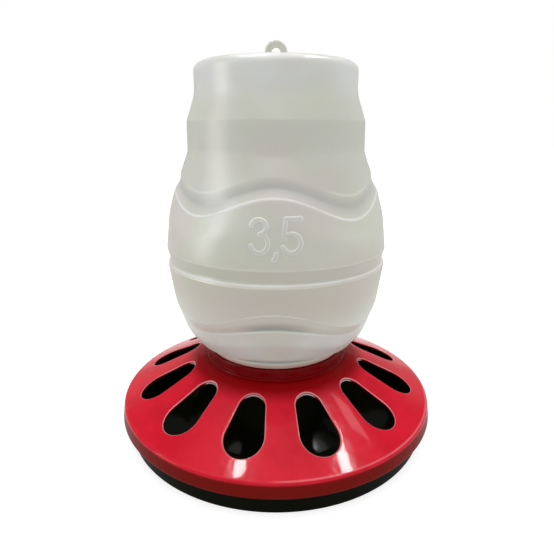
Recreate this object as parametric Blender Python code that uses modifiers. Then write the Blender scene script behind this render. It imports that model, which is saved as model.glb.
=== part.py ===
"""Gravity feeder for chicks, in three moulded pieces.

A blown hopper stands neck down in the collar of a round feeding cover, and the cover sits on a
shallow pan. Feed runs out of the neck over the pan's cone, and the birds reach it through
twelve slots. Sizes are in metres. The origin is under the middle of the pan, +Z is up, and the
front of the hopper faces -Y.
"""

import math

import bmesh
import bpy
from mathutils import Matrix, Vector

# Fits
FIT_GAP = 0.0003

# Feeding cover
RIM_RADIUS = 0.126
RIM_HEIGHT = 0.0265
RIM_ROUNDING = 0.002
SKIRT_DEPTH = 0.0086
SKIRT_FLARE = 0.0016
COVER_WALL = 0.0024
ROOF_SLOPE = 0.468
ROOF_CURVE = 0.044
BAND_RADIUS = 0.0668
BAND_SLOPE = 0.33
COLLAR_WALL = 0.0022
COLLAR_RISE = 0.0072
COLLAR_REACH = 0.0095
COLLAR_LEDGE_WIDTH = 0.0013
COLLAR_LEDGE_HEIGHT = 0.0011
COVER_TURN = math.radians(2.4)

# Feeding slots
SLOT_COUNT = 12
SLOT_INNER_DISTANCE = 0.0793
SLOT_INNER_ROUND = 0.0096
SLOT_OUTER_DISTANCE = 0.0984
SLOT_OUTER_ROUND = 0.0131
LIP_ROUNDING = 0.0009
LIP_DEPTH = 0.003
LIP_WALL = 0.0018

# Feed pan
PAN_WALL = 0.0022
PAN_BEAD = 0.0013
PAN_BEAD_HEIGHT = 0.0026
PAN_TAPER = 0.03
PAN_FOOT_ROUNDING = 0.0014
CONE_FOOT_RADIUS = 0.073
CONE_HEIGHT = 0.038
CONE_FOOT_ROUNDING = 0.008
CONE_TIP_ROUNDING = 0.012

# Hopper neck, and the ring that stops it on the collar
HOPPER_WALL = 0.0016
NECK_RADIUS = 0.0535
NECK_REACH = 0.0225
STOP_RING_REACH = 0.0012
STOP_RING_HEIGHT = 0.0045

# Hopper body: radii, and heights above the top of the collar
SHOULDER_RADIUS = 0.0657
SHOULDER_HEIGHT = 0.0118
LOWER_BELLY_RADIUS = 0.0743
LOWER_BELLY_HEIGHT = 0.0276
STEP_RADIUS = 0.0774
STEP_HEIGHT = 0.0395
STEP_DEPTH = 0.0009
CREASE_RADIUS = 0.0812
CREASE_HEIGHT = 0.0525
BELLY_RADIUS = 0.0845
GROOVE_TOP_HEIGHT = 0.0835
GROOVE_HEIGHT = 0.0752
GROOVE_FOOT_HEIGHT = 0.0718
GROOVE_DEPTH = 0.0025
UPPER_BELLY_RADIUS = 0.0815
UPPER_BELLY_HEIGHT = 0.1105
RIDGE_RADIUS = 0.0767
RIDGE_HEIGHT = 0.1265
VALLEY_RADIUS = 0.0722
VALLEY_HEIGHT = 0.1335
FLARE_RADIUS = 0.0705
FLARE_HEIGHT = 0.1405
WAIST_RADIUS = 0.0656
WAIST_HEIGHT = 0.1535
WAIST_TOP_RADIUS = 0.0652
WAIST_TOP_HEIGHT = 0.1745
CROWN_RADIUS = 0.0593
CROWN_HEIGHT = 0.193
TOP_HEIGHT = 0.2136
TOP_RISE = 0.0008
TOP_ROUNDING = 0.006
CROWN_ROUNDING = 0.03
WAIST_ROUNDING = 0.012
VALLEY_ROUNDING = 0.006
RIDGE_ROUNDING = 0.003
BELLY_ROUNDING = 0.05
GROOVE_ROUNDING = 0.003
SHOULDER_ROUNDING = 0.007

# Four crests around the hopper, and how far each wavy line drops between them
WAVE_COUNT = 4
FLARE_DROP = 0.013
VALLEY_DROP = 0.0144
RIDGE_DROP = 0.016
CREASE_DROP = 0.0145
STEP_DROP = 0.009
# Share by which every other trough is deeper than its neighbour
TROUGH_SKEW = 0.08

# Hanging ear
EAR_RADIUS = 0.0081
EAR_HOLE_RADIUS = 0.0033
EAR_HOLE_LIFT = 0.0068
EAR_THICKNESS = 0.004
EAR_ROOT_SPREAD = 0.001

# Fineness
HOPPER_STEPS = 40
BASE_STEPS = 48
ARC_TURN = math.radians(36)
SLOT_INNER_POINTS = 4
SLOT_OUTER_POINTS = 7


def clear_scene():
    """Remove every object that the file opened with."""
    for old in list(bpy.data.objects):
        bpy.data.objects.remove(old, do_unlink=True)


def new_collection(name):
    """Make a collection in the scene."""
    group = bpy.data.collections.new(name)
    bpy.context.scene.collection.children.link(group)
    return group


def new_object(name, data, group):
    """Put mesh or curve data into a collection as an object."""
    made = bpy.data.objects.new(name, data)
    group.objects.link(made)
    return made


def plastic(name, colour, roughness):
    """Make a plain plastic material."""
    made = bpy.data.materials.new(name)
    made.use_nodes = True
    shader = made.node_tree.nodes["Principled BSDF"]
    shader.inputs["Base Color"].default_value = (*colour, 1.0)
    shader.inputs["Roughness"].default_value = roughness
    shader.inputs["Metallic"].default_value = 0.0
    return made


def rounded_corner(before, corner, after, rounding):
    """Points of the arc that rounds one corner of an outline."""
    to_before = before - corner
    to_after = after - corner
    half = to_before.angle(to_after) / 2
    longest = 0.49 * min(to_before.length, to_after.length)
    reach = min(rounding / math.tan(half), longest)
    radius = reach * math.tan(half)
    bisector = (to_before.normalized() + to_after.normalized()).normalized()
    centre = corner + bisector * (radius / math.sin(half))
    start = corner + to_before.normalized() * reach - centre
    end = corner + to_after.normalized() * reach - centre
    turn = start.angle_signed(end)
    count = max(1, math.ceil(abs(turn) / ARC_TURN))
    points = []
    for step in range(count + 1):
        part = turn * step / count
        spin = Matrix.Rotation(-part, 2)
        points.append(centre + spin @ start)
    return points


def outline(corners, closed=False):
    """Turn corners (radius, height, rounding) into outline points, top to bottom."""
    spots = [Vector((radius, height)) for radius, height, rounding in corners]
    points = []
    for index, (radius, height, rounding) in enumerate(corners):
        end_of_line = index in (0, len(corners) - 1) and not closed
        if rounding == 0 or end_of_line:
            points.append(spots[index])
        else:
            before = spots[index - 1]
            after = spots[(index + 1) % len(spots)]
            points.extend(rounded_corner(before, spots[index], after, rounding))
    return points


def turned(name, points, steps, group, closed=False):
    """Turn an outline about Z with a Screw modifier."""
    mesh = bpy.data.meshes.new(name)
    shape = bmesh.new()
    verts = [shape.verts.new((point.x, 0, point.y)) for point in points]
    for first, second in zip(verts, verts[1:]):
        shape.edges.new((first, second))
    if closed:
        shape.edges.new((verts[-1], verts[0]))
    shape.to_mesh(mesh)
    shape.free()
    made = new_object(name, mesh, group)
    screw = made.modifiers.new("turn", "SCREW")
    screw.axis = "Z"
    screw.angle = math.tau
    screw.steps = steps
    screw.render_steps = steps
    screw.use_merge_vertices = True
    screw.merge_threshold = 0.00001
    screw.use_smooth_shade = True
    return made


def made_mesh(source):
    """Keep an object's evaluated shape as its own mesh, without modifiers."""
    bpy.context.view_layer.update()
    seen = source.evaluated_get(bpy.context.evaluated_depsgraph_get())
    mesh = bpy.data.meshes.new_from_object(seen)
    name = source.name
    groups = list(source.users_collection)
    bpy.data.objects.remove(source, do_unlink=True)
    return new_object(name, mesh, groups[0])


def shell(target, wall):
    """Give an outer skin its wall, on the inside."""
    solid = target.modifiers.new("wall", "SOLIDIFY")
    solid.thickness = wall
    solid.offset = -1
    solid.use_even_offset = True
    solid.use_quality_normals = True


def combine(target, other, operation):
    """Join or cut with another object, which is then only a guide."""
    step = target.modifiers.new(other.name, "BOOLEAN")
    step.operation = operation
    step.solver = "EXACT"
    step.object = other
    other.hide_render = True
    other.display_type = "WIRE"


def roof_height(radius):
    """Height of the cover's sloping roof at a distance from the axis."""
    inward = RIM_RADIUS - radius
    return RIM_HEIGHT + ROOF_SLOPE * inward + ROOF_CURVE * inward ** 2 / RIM_RADIUS


def under_roof(radius):
    """Height of the roof's underside."""
    inward = RIM_RADIUS - radius
    slope = ROOF_SLOPE + 2 * ROOF_CURVE * inward / RIM_RADIUS
    return roof_height(radius) - COVER_WALL * math.hypot(1, slope)


COLLAR_BORE = NECK_RADIUS + FIT_GAP
COLLAR_RADIUS = COLLAR_BORE + COLLAR_WALL
LEDGE_RADIUS = COLLAR_RADIUS + COLLAR_LEDGE_WIDTH
LEDGE_BASE = roof_height(BAND_RADIUS) + BAND_SLOPE * (BAND_RADIUS - LEDGE_RADIUS)
LEDGE_TOP = LEDGE_BASE + COLLAR_LEDGE_HEIGHT
COLLAR_TOP = LEDGE_TOP + COLLAR_RISE
SEAT = COLLAR_TOP + FIT_GAP
PAN_RADIUS = RIM_RADIUS - COVER_WALL - FIT_GAP
PAN_DEPTH = under_roof(PAN_RADIUS) - FIT_GAP


def build_cover(group, guides):
    """Feeding cover: sloping roof with slots, skirt outside, collar in the middle."""
    skirt_radius = RIM_RADIUS + SKIRT_FLARE
    skirt_end = RIM_HEIGHT - SKIRT_DEPTH
    inner_rim = RIM_RADIUS - COVER_WALL
    collar_end = under_roof(COLLAR_RADIUS) - COLLAR_REACH
    middle = (BAND_RADIUS + RIM_RADIUS) / 2
    edge = COVER_WALL / 5
    corners = [
        (COLLAR_BORE, COLLAR_TOP, 0),
        (COLLAR_RADIUS, COLLAR_TOP, COLLAR_WALL / 3),
        (COLLAR_RADIUS, LEDGE_TOP, 0),
        (LEDGE_RADIUS, LEDGE_TOP, 0),
        (LEDGE_RADIUS, LEDGE_BASE, 0),
        (BAND_RADIUS, roof_height(BAND_RADIUS), 0),
        (middle, roof_height(middle), 0),
        (RIM_RADIUS, RIM_HEIGHT, RIM_ROUNDING),
        (skirt_radius, skirt_end, edge),
        (skirt_radius - COVER_WALL, skirt_end, 0),
        (inner_rim, under_roof(inner_rim), 0),
        (middle, under_roof(middle), 0),
        (COLLAR_RADIUS, under_roof(BAND_RADIUS) + BAND_SLOPE * (BAND_RADIUS - COLLAR_RADIUS), 0),
        (COLLAR_RADIUS, collar_end, 0),
        (COLLAR_BORE, collar_end, 0),
    ]
    cover = turned("feeding_cover", outline(corners, closed=True), BASE_STEPS, group, closed=True)
    lips, openings = slot_tools(guides)
    combine(cover, lips, "UNION")
    combine(cover, openings, "DIFFERENCE")
    return cover


def slot_outline(offset):
    """Teardrop of one slot, around +X: two unlike arcs joined by straight sides."""
    reach = SLOT_OUTER_DISTANCE - SLOT_INNER_DISTANCE
    lean = math.asin((SLOT_OUTER_ROUND - SLOT_INNER_ROUND) / reach)
    side = math.pi / 2 + lean
    points = []
    for step in range(SLOT_OUTER_POINTS):
        angle = -side + 2 * side * step / (SLOT_OUTER_POINTS - 1)
        radius = SLOT_OUTER_ROUND + offset
        spot = (SLOT_OUTER_DISTANCE + radius * math.cos(angle), radius * math.sin(angle))
        points.append(spot)
    for step in range(SLOT_INNER_POINTS):
        angle = side + 2 * (math.pi - side) * step / (SLOT_INNER_POINTS - 1)
        radius = SLOT_INNER_ROUND + offset
        spot = (SLOT_INNER_DISTANCE + radius * math.cos(angle), radius * math.sin(angle))
        points.append(spot)
    return points


def slot_ring(shape, turn, offset, depth, level):
    """One loop of a slot's loft, either a depth under the roof or at a level height."""
    loop = []
    for x, y in slot_outline(offset):
        height = roof_height(math.hypot(x, y)) - depth if level is None else level
        spot = Matrix.Rotation(turn, 3, "Z") @ Vector((x, y, height))
        loop.append(shape.verts.new(spot))
    edges = [shape.edges.new((loop[at - 1], loop[at])) for at in range(len(loop))]
    return loop, edges


def loft_slots(name, rings, closed, guides):
    """Loft every slot's rings into closed solids, one for each slot."""
    shape = bmesh.new()
    for index in range(SLOT_COUNT):
        turn = COVER_TURN - math.pi / 2 + (index + 0.5) * math.tau / SLOT_COUNT
        made = [slot_ring(shape, turn, *ring) for ring in rings]
        pairs = list(zip(made, made[1:]))
        if closed:
            pairs.append((made[-1], made[0]))
        else:
            shape.faces.new(made[0][0])
            shape.faces.new(made[-1][0])
        for (_, lower), (_, upper) in pairs:
            bmesh.ops.bridge_loops(shape, edges=lower + upper)
    bmesh.ops.recalc_face_normals(shape, faces=shape.faces)
    mesh = bpy.data.meshes.new(name)
    shape.to_mesh(mesh)
    shape.free()
    return new_object(name, mesh, guides)


def slot_tools(guides):
    """Turned-down lips to add round the slots, and the round-lipped openings to cut."""
    lips = loft_slots("slot_lips", [
        (LIP_WALL, COVER_WALL / 2, None),
        (LIP_WALL, LIP_DEPTH, None),
        (-LIP_WALL / 2, LIP_DEPTH, None),
        (-LIP_WALL / 2, COVER_WALL / 2, None),
    ], True, guides)
    halfway = LIP_ROUNDING * (1 - math.sqrt(0.5))
    openings = loft_slots("slot_openings", [
        (0, 0, RIM_HEIGHT / 2),
        (0, LIP_ROUNDING, None),
        (halfway, halfway, None),
        (LIP_ROUNDING + halfway, -halfway / 2, None),
        (LIP_ROUNDING + halfway, 0, COLLAR_TOP),
    ], False, guides)
    return lips, openings


def build_pan(group):
    """Feed pan: beaded rim, tapered wall, flat floor and a cone that spreads the feed."""
    wall_radius = PAN_RADIUS - PAN_BEAD
    bead_end = PAN_DEPTH - PAN_BEAD_HEIGHT
    foot_radius = wall_radius - PAN_TAPER * bead_end
    slant = CONE_HEIGHT / CONE_FOOT_RADIUS
    under_tip = CONE_HEIGHT - PAN_WALL * math.hypot(1, slant)
    corners = [
        (PAN_RADIUS, PAN_DEPTH, 0),
        (PAN_RADIUS, bead_end, 0),
        (wall_radius, bead_end - PAN_BEAD, 0),
        (foot_radius, 0, PAN_FOOT_ROUNDING),
        (CONE_FOOT_RADIUS, 0, CONE_FOOT_ROUNDING),
        (CONE_TIP_ROUNDING, under_tip - CONE_TIP_ROUNDING * slant, CONE_TIP_ROUNDING),
        (0, under_tip - CONE_TIP_ROUNDING * slant, 0),
    ]
    pan = turned("feed_pan", outline(corners), BASE_STEPS, group)
    shell(pan, PAN_WALL)
    return pan


def hopper_corners():
    """Outer outline of the hopper at a crest of its waves, top to bottom."""
    ring_radius = NECK_RADIUS + STOP_RING_REACH
    body = [
        (0, TOP_HEIGHT + TOP_RISE, 0),
        (CROWN_RADIUS, TOP_HEIGHT, TOP_ROUNDING),
        (CROWN_RADIUS, CROWN_HEIGHT, CROWN_ROUNDING),
        (WAIST_TOP_RADIUS, WAIST_TOP_HEIGHT, WAIST_ROUNDING),
        (WAIST_RADIUS, WAIST_HEIGHT, WAIST_ROUNDING),
        (FLARE_RADIUS, FLARE_HEIGHT, 0),
        (VALLEY_RADIUS, VALLEY_HEIGHT, VALLEY_ROUNDING),
        (RIDGE_RADIUS, RIDGE_HEIGHT, RIDGE_ROUNDING),
        (UPPER_BELLY_RADIUS, UPPER_BELLY_HEIGHT, BELLY_ROUNDING),
        (BELLY_RADIUS, GROOVE_TOP_HEIGHT, GROOVE_ROUNDING),
        (BELLY_RADIUS - GROOVE_DEPTH, GROOVE_HEIGHT, GROOVE_ROUNDING),
        (BELLY_RADIUS, GROOVE_FOOT_HEIGHT, GROOVE_ROUNDING),
        (CREASE_RADIUS, CREASE_HEIGHT, 0),
        (STEP_RADIUS + STEP_DEPTH, STEP_HEIGHT + STEP_DEPTH, 0),
        (STEP_RADIUS, STEP_HEIGHT - STEP_DEPTH, 0),
        (LOWER_BELLY_RADIUS, LOWER_BELLY_HEIGHT, 0),
        (SHOULDER_RADIUS, SHOULDER_HEIGHT, SHOULDER_ROUNDING),
        (ring_radius, STOP_RING_HEIGHT, 0),
        (ring_radius, 0, 0),
        (NECK_RADIUS, 0, 0),
        (NECK_RADIUS, -NECK_REACH, 0),
    ]
    return [(radius, SEAT + height, rounding) for radius, height, rounding in body]


def wave_drop(height):
    """How far the outline drops halfway between two crests, at a height over the seat."""
    lines = [
        (0, 0),
        (STEP_HEIGHT, STEP_DROP),
        (CREASE_HEIGHT, CREASE_DROP),
        (GROOVE_FOOT_HEIGHT, 0),
        (GROOVE_TOP_HEIGHT, 0),
        (RIDGE_HEIGHT, RIDGE_DROP),
        (VALLEY_HEIGHT, VALLEY_DROP),
        (FLARE_HEIGHT, FLARE_DROP),
        (WAIST_HEIGHT, 0),
    ]
    for (foot, foot_drop), (top, top_drop) in zip(lines, lines[1:]):
        if foot <= height <= top:
            share = (height - foot) / (top - foot)
            if 0 in (foot_drop, top_drop):
                share = share * share * (3 - 2 * share)
            return foot_drop + share * (top_drop - foot_drop)
    return 0


def ear_outline(group, top):
    """Hanging ear as a flat curve with a round hole, standing across the front."""
    centre = top + EAR_HOLE_LIFT
    root = top - HOPPER_WALL / 2
    flat = bpy.data.curves.new("hanging_ear", "CURVE")
    flat.dimensions = "2D"
    flat.fill_mode = "BOTH"
    flat.extrude = EAR_THICKNESS / 2
    around = [(-EAR_RADIUS - EAR_ROOT_SPREAD, root), (EAR_RADIUS + EAR_ROOT_SPREAD, root)]
    for step in range(13):
        angle = math.pi * step / 12
        around.append((EAR_RADIUS * math.cos(angle), centre + EAR_RADIUS * math.sin(angle)))
    hole = []
    for step in range(16):
        angle = math.tau * step / 16
        hole.append((EAR_HOLE_RADIUS * math.cos(angle),
                     centre + EAR_HOLE_RADIUS * math.sin(angle)))
    for points in (around, hole):
        spline = flat.splines.new("POLY")
        spline.points.add(len(points) - 1)
        spline.use_cyclic_u = True
        for spot, (x, y) in zip(spline.points, points):
            spot.co = (x, y, 0, 1)
    ear = new_object("hanging_ear", flat, group)
    ear.rotation_euler.x = math.pi / 2
    ear = made_mesh_in_place(ear)
    return ear


def made_mesh_in_place(source):
    """Keep a curve's shape as a closed mesh in world space."""
    bpy.context.view_layer.update()
    place = source.matrix_world.copy()
    made = made_mesh(source)
    shape = bmesh.new()
    shape.from_mesh(made.data)
    bmesh.ops.remove_doubles(shape, verts=shape.verts, dist=0.00001)
    bmesh.ops.recalc_face_normals(shape, faces=shape.faces)
    shape.to_mesh(made.data)
    shape.free()
    made.matrix_world = place
    return made


def build_hopper(group, guides):
    """Blown hopper: turned skin, pressed into waves, given its wall and its hanging ear."""
    points = outline(hopper_corners())
    hopper = made_mesh(turned("hopper", points, HOPPER_STEPS, group))
    for vert in hopper.data.vertices:
        turn = math.atan2(vert.co.x, -vert.co.y)
        between_crests = (1 - math.cos(WAVE_COUNT * turn)) / 2
        between_crests += TROUGH_SKEW * math.sin(WAVE_COUNT / 2 * turn)
        vert.co.z -= wave_drop(vert.co.z - SEAT) * between_crests
    shell(hopper, HOPPER_WALL)
    combine(hopper, ear_outline(guides, SEAT + TOP_HEIGHT + TOP_RISE), "UNION")
    return hopper


def main():
    """Build the feeder."""
    clear_scene()
    group = new_collection("chick_feeder")
    guides = new_collection("guides")
    milky = plastic("milky_plastic", (0.62, 0.61, 0.56), 0.35)
    red = plastic("red_plastic", (0.62, 0.01, 0.03), 0.2)
    black = plastic("black_plastic", (0.008, 0.01, 0.007), 0.3)
    build_pan(group).data.materials.append(black)
    build_cover(group, guides).data.materials.append(red)
    build_hopper(group, guides).data.materials.append(milky)


main()
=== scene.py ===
# %% [markdown]
# # A gravity feeder for chicks
#
# The real feeder comes apart into three moulded pieces. A milky bottle, the hopper, stands neck
# down in a red cover with twelve feeding slots, and the cover sits on a black pan. This lesson
# models each piece again in finer steps than the solid model has, gives each one its plastic,
# and then lights it as in a plain photo studio.
#
# Sizes are in metres. The feeder's axis is Z, and the front of the hopper faces -Y.

# %% Load the solid model
import math

import bmesh
import bpy
from mathutils import Matrix, Vector


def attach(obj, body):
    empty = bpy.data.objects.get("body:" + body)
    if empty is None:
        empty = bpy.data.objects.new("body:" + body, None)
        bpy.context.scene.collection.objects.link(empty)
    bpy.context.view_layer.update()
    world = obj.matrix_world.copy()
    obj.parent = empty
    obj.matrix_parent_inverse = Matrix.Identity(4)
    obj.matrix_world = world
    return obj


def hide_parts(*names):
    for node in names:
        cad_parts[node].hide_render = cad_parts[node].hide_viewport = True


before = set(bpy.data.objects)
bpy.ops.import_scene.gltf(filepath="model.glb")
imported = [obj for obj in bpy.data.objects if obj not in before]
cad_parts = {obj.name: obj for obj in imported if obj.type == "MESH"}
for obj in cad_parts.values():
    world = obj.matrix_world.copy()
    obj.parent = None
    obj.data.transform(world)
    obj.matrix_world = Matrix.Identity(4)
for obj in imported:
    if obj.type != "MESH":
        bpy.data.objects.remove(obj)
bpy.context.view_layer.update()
print("pieces of the solid model:", sorted(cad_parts))

# %% [markdown]
# ## Helpers that every piece needs
#
# A turned or bent outline can be drawn by hand, point by point, but then every change of a
# rounding means new points. Here an outline is a short list of corners, each with a radius, a
# height and a rounding, and one helper fills in the arcs. That is how a mould drawing is
# dimensioned, so it is easy to check against the real thing.

# %% Rounded outlines
ARC_STEP = math.radians(9)


def rounded_corner(before, corner, after, rounding):
    """Points of the arc that rounds one corner of an outline."""
    to_before = before - corner
    to_after = after - corner
    half = to_before.angle(to_after) / 2
    longest = 0.49 * min(to_before.length, to_after.length)
    reach = min(rounding / math.tan(half), longest)
    radius = reach * math.tan(half)
    bisector = (to_before.normalized() + to_after.normalized()).normalized()
    centre = corner + bisector * (radius / math.sin(half))
    start = corner + to_before.normalized() * reach - centre
    end = corner + to_after.normalized() * reach - centre
    turn = start.angle_signed(end)
    count = max(2, math.ceil(abs(turn) / ARC_STEP))
    return [centre + Matrix.Rotation(-turn * step / count, 2) @ start
            for step in range(count + 1)]


def outline(corners, longest=None):
    """Outline points from (radius, height, rounding) corners, with no step over the longest."""
    spots = [Vector((radius, height)) for radius, height, rounding in corners]
    points = []
    for index, (radius, height, rounding) in enumerate(corners):
        if rounding == 0 or index in (0, len(corners) - 1):
            points.append(spots[index])
        else:
            points.extend(rounded_corner(spots[index - 1], spots[index], spots[index + 1],
                                         rounding))
    if longest is None:
        return points
    filled = [points[0]]
    for point in points[1:]:
        start = filled[-1]
        parts = max(1, math.ceil((point - start).length / longest))
        filled += [start.lerp(point, part / parts) for part in range(1, parts + 1)]
    return filled


# %% Turning an outline, and keeping the result as a piece
UP = Vector((0, 0, 1))
MERGE = 0.000005


def turn_outline(shape, points, steps, start_angle=0.0):
    """Spin an outline a full turn about Z inside a bmesh."""
    spin = Matrix.Rotation(start_angle, 3, "Z")
    verts = [shape.verts.new(spin @ Vector((point.x, 0, point.y))) for point in points]
    edges = [shape.edges.new(pair) for pair in zip(verts, verts[1:])]
    bmesh.ops.spin(shape, geom=verts + edges, cent=(0, 0, 0), axis=UP, angle=math.tau,
                   steps=steps, use_merge=True)


def as_piece(shape, name, smooth=True):
    """Merge, orient and keep a bmesh as an object at the origin."""
    bmesh.ops.remove_doubles(shape, verts=shape.verts, dist=MERGE)
    bmesh.ops.recalc_face_normals(shape, faces=shape.faces)
    for face in shape.faces:
        face.smooth = smooth
    mesh = bpy.data.meshes.new(name)
    shape.to_mesh(mesh)
    shape.free()
    piece = bpy.data.objects.new(name, mesh)
    bpy.context.scene.collection.objects.link(piece)
    print(name, "has", len(mesh.vertices), "points")
    return piece


def give_wall(piece, wall):
    """Give an outer skin its wall, on the inside."""
    solid = piece.modifiers.new("wall", "SOLIDIFY")
    solid.thickness = wall
    solid.offset = -1
    solid.use_even_offset = True
    solid.use_quality_normals = True


# %% [markdown]
# ## Sizes that the three pieces share
#
# The cover's roof is a shallow cone that gets a little steeper towards the middle. The collar,
# the slots and the hopper's seat all stand on it, so its height is a formula that they all use.

# %% The roof, and the seat of the hopper on the collar
RIM_RADIUS = 0.126
RIM_HEIGHT = 0.0265
COVER_WALL = 0.0024
ROOF_SLOPE = 0.468
ROOF_CURVE = 0.044
BAND_RADIUS = 0.0668
BAND_SLOPE = 0.33
NECK_RADIUS = 0.0535
FIT_GAP = 0.0003
COLLAR_WALL = 0.0022
COLLAR_RISE = 0.0072
LEDGE_WIDTH = 0.0013
LEDGE_RISE = 0.0011


def roof_height(radius):
    """Height of the cover's roof at a distance from the axis."""
    inward = RIM_RADIUS - radius
    return RIM_HEIGHT + ROOF_SLOPE * inward + ROOF_CURVE * inward ** 2 / RIM_RADIUS


COLLAR_RADIUS = NECK_RADIUS + FIT_GAP + COLLAR_WALL
LEDGE_RADIUS = COLLAR_RADIUS + LEDGE_WIDTH
LEDGE_BASE = roof_height(BAND_RADIUS) + BAND_SLOPE * (BAND_RADIUS - LEDGE_RADIUS)
COLLAR_TOP = LEDGE_BASE + LEDGE_RISE + COLLAR_RISE
SEAT = COLLAR_TOP + FIT_GAP
print("the hopper stands", round(SEAT * 1000, 1), "mm over the floor")

# %% [markdown]
# ## The hopper
#
# The hopper is a blow-moulded bottle. It could be lofted from many drawn rings, but almost all
# of it is round, so it is turned from one outline. The two wavy lines are then pressed in by
# moving each point down by an amount that depends on its height and on its turn around the
# axis. The whole skin follows, so no seam appears.

# %% The hopper's outline
TOP = 0.2136
TOP_RISE = 0.0008
GROOVE_TOP = 0.0835
GROOVE_FOOT = 0.0718
HOPPER_CORNERS = [
    # radius, height over the seat, rounding
    (0, TOP + TOP_RISE, 0),
    (0.03, TOP + TOP_RISE * 0.8, 0.02),
    (0.0588, TOP, 0.006),
    (0.0588, 0.193, 0.03),
    (0.0652, 0.1745, 0.002),
    (0.0656, 0.1535, 0.014),
    (0.0711, 0.1405, 0.004),
    (0.0722, 0.1335, 0.003),
    (0.0767, 0.1265, 0.002),
    (0.0815, 0.1105, 0.05),
    (0.0845, GROOVE_TOP, 0.003),
    (0.082, 0.0752, 0.002),
    (0.0845, GROOVE_FOOT, 0.0016),
    (0.0812, 0.0525, 0.001),
    (0.0803, 0.0465, 0.012),
    (0.0773, 0.0408, 0.0006),
    (0.0778, 0.0392, 0.0008),
    (0.0743, 0.0276, 0.02),
    (0.0657, 0.0118, 0.007),
    (0.0547, 0.0055, 0.0006),
    (0.0547, 0, 0.0004),
    (NECK_RADIUS, 0, 0),
    (NECK_RADIUS, -0.0225, 0),
]
HOPPER_STEPS = 168
OUTLINE_STEP = 0.0028
hopper_shape = bmesh.new()
hopper_points = outline([(radius, SEAT + height, rounding)
                         for radius, height, rounding in HOPPER_CORNERS], OUTLINE_STEP)
turn_outline(hopper_shape, hopper_points, HOPPER_STEPS, -math.pi / 2)
bmesh.ops.remove_doubles(hopper_shape, verts=hopper_shape.verts, dist=MERGE)
print("the outline has", len(hopper_points), "points")

# %% The waves
WAVE_COUNT = 4
TROUGH_SKEW = 0.08
WAVE_LINES = [
    # height over the seat, drop halfway between two crests
    (0, 0),
    (0.0395, 0.009),
    (0.0525, 0.0145),
    (GROOVE_FOOT, 0),
    (GROOVE_TOP, 0),
    (0.1265, 0.016),
    (0.1335, 0.0144),
    (0.1405, 0.013),
    (0.1535, 0),
]


def wave_drop(height):
    """How far the skin drops halfway between two crests, at a height over the seat."""
    for (foot, foot_drop), (top, top_drop) in zip(WAVE_LINES, WAVE_LINES[1:]):
        if foot <= height <= top:
            share = (height - foot) / (top - foot)
            if 0 in (foot_drop, top_drop):
                share = share * share * (3 - 2 * share)
            return foot_drop + share * (top_drop - foot_drop)
    return 0


# %% [markdown]
# ## The raised number
#
# The hopper's capacity stands on its front as a thin raised figure. It could be a text object
# laid on the belly, but blown plastic has no sharp corners: the skin itself swells. So each
# stroke is a line of points, and the skin's fine patch is lifted wherever it is near a stroke.

# %% The strokes of the number
STROKE_HALF_WIDTH = 0.00095
STROKE_FLANK = 0.00055
STROKE_LIFT = 0.00045


def arc(centre_x, centre_z, across, up, start, end, count=18):
    """Points of an oval arc, with angles in degrees from +X towards +Z."""
    angles = [math.radians(start + (end - start) * step / count) for step in range(count + 1)]
    return [Vector((centre_x + across * math.cos(angle), centre_z + up * math.sin(angle)))
            for angle in angles]


NUMBER_STROKES = [
    # the upper and lower bowls of the three
    arc(-0.0106, 0.0164, 0.0048, 0.0044, 168, -82),
    arc(-0.0105, 0.0062, 0.0054, 0.0059, 82, -165),
    # the comma
    [Vector((0.0002, 0.0)), Vector((0.0002, -0.0012)), Vector((-0.0012, -0.0038))],
    # the five: bar, stem and bowl
    [Vector((0.0154, 0.0213)), Vector((0.0062, 0.0213)), Vector((0.0048, 0.0106))],
    arc(0.0098, 0.0063, 0.0058, 0.0059, 146, -160, 26),
]
NUMBER_BASE = SEAT + 0.0946
NUMBER_REACH = 0.021
NUMBER_TALLNESS = 1.3


def distance_to_stroke(spot, stroke):
    """Shortest distance from a spot to a line of points."""
    best = 1.0
    for start, end in zip(stroke, stroke[1:]):
        along = end - start
        share = min(max((spot - start).dot(along) / along.length_squared, 0), 1)
        best = min(best, (start + along * share - spot).length)
    return best


def number_lift(near):
    """How far the skin stands out at a distance from the nearest stroke."""
    share = min(max((STROKE_HALF_WIDTH + STROKE_FLANK - near) / STROKE_FLANK, 0), 1)
    return STROKE_LIFT * share * share * (3 - 2 * share)


# %% A finer patch where the number stands
PATCH_REACH = 0.0042
PATCH_CUTS = 9


def in_number_patch(face):
    """Whether a face of the belly's front lies near a stroke of the number."""
    middle = face.calc_center_median()
    if middle.y > 0:
        return False
    radius = math.hypot(middle.x, middle.y)
    across = radius * math.atan2(middle.x, -middle.y)
    up = middle.z - NUMBER_BASE
    return any(distance_to_stroke(Vector((across, up)), stroke) < PATCH_REACH
               for stroke in NUMBER_STROKES)


patch = [face for face in hopper_shape.faces if in_number_patch(face)]
patch_edges = list({edge for face in patch for edge in face.edges})
bmesh.ops.subdivide_edges(hopper_shape, edges=patch_edges, cuts=PATCH_CUTS, use_grid_fill=True)
print(len(patch), "faces were made finer for the number")
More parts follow.
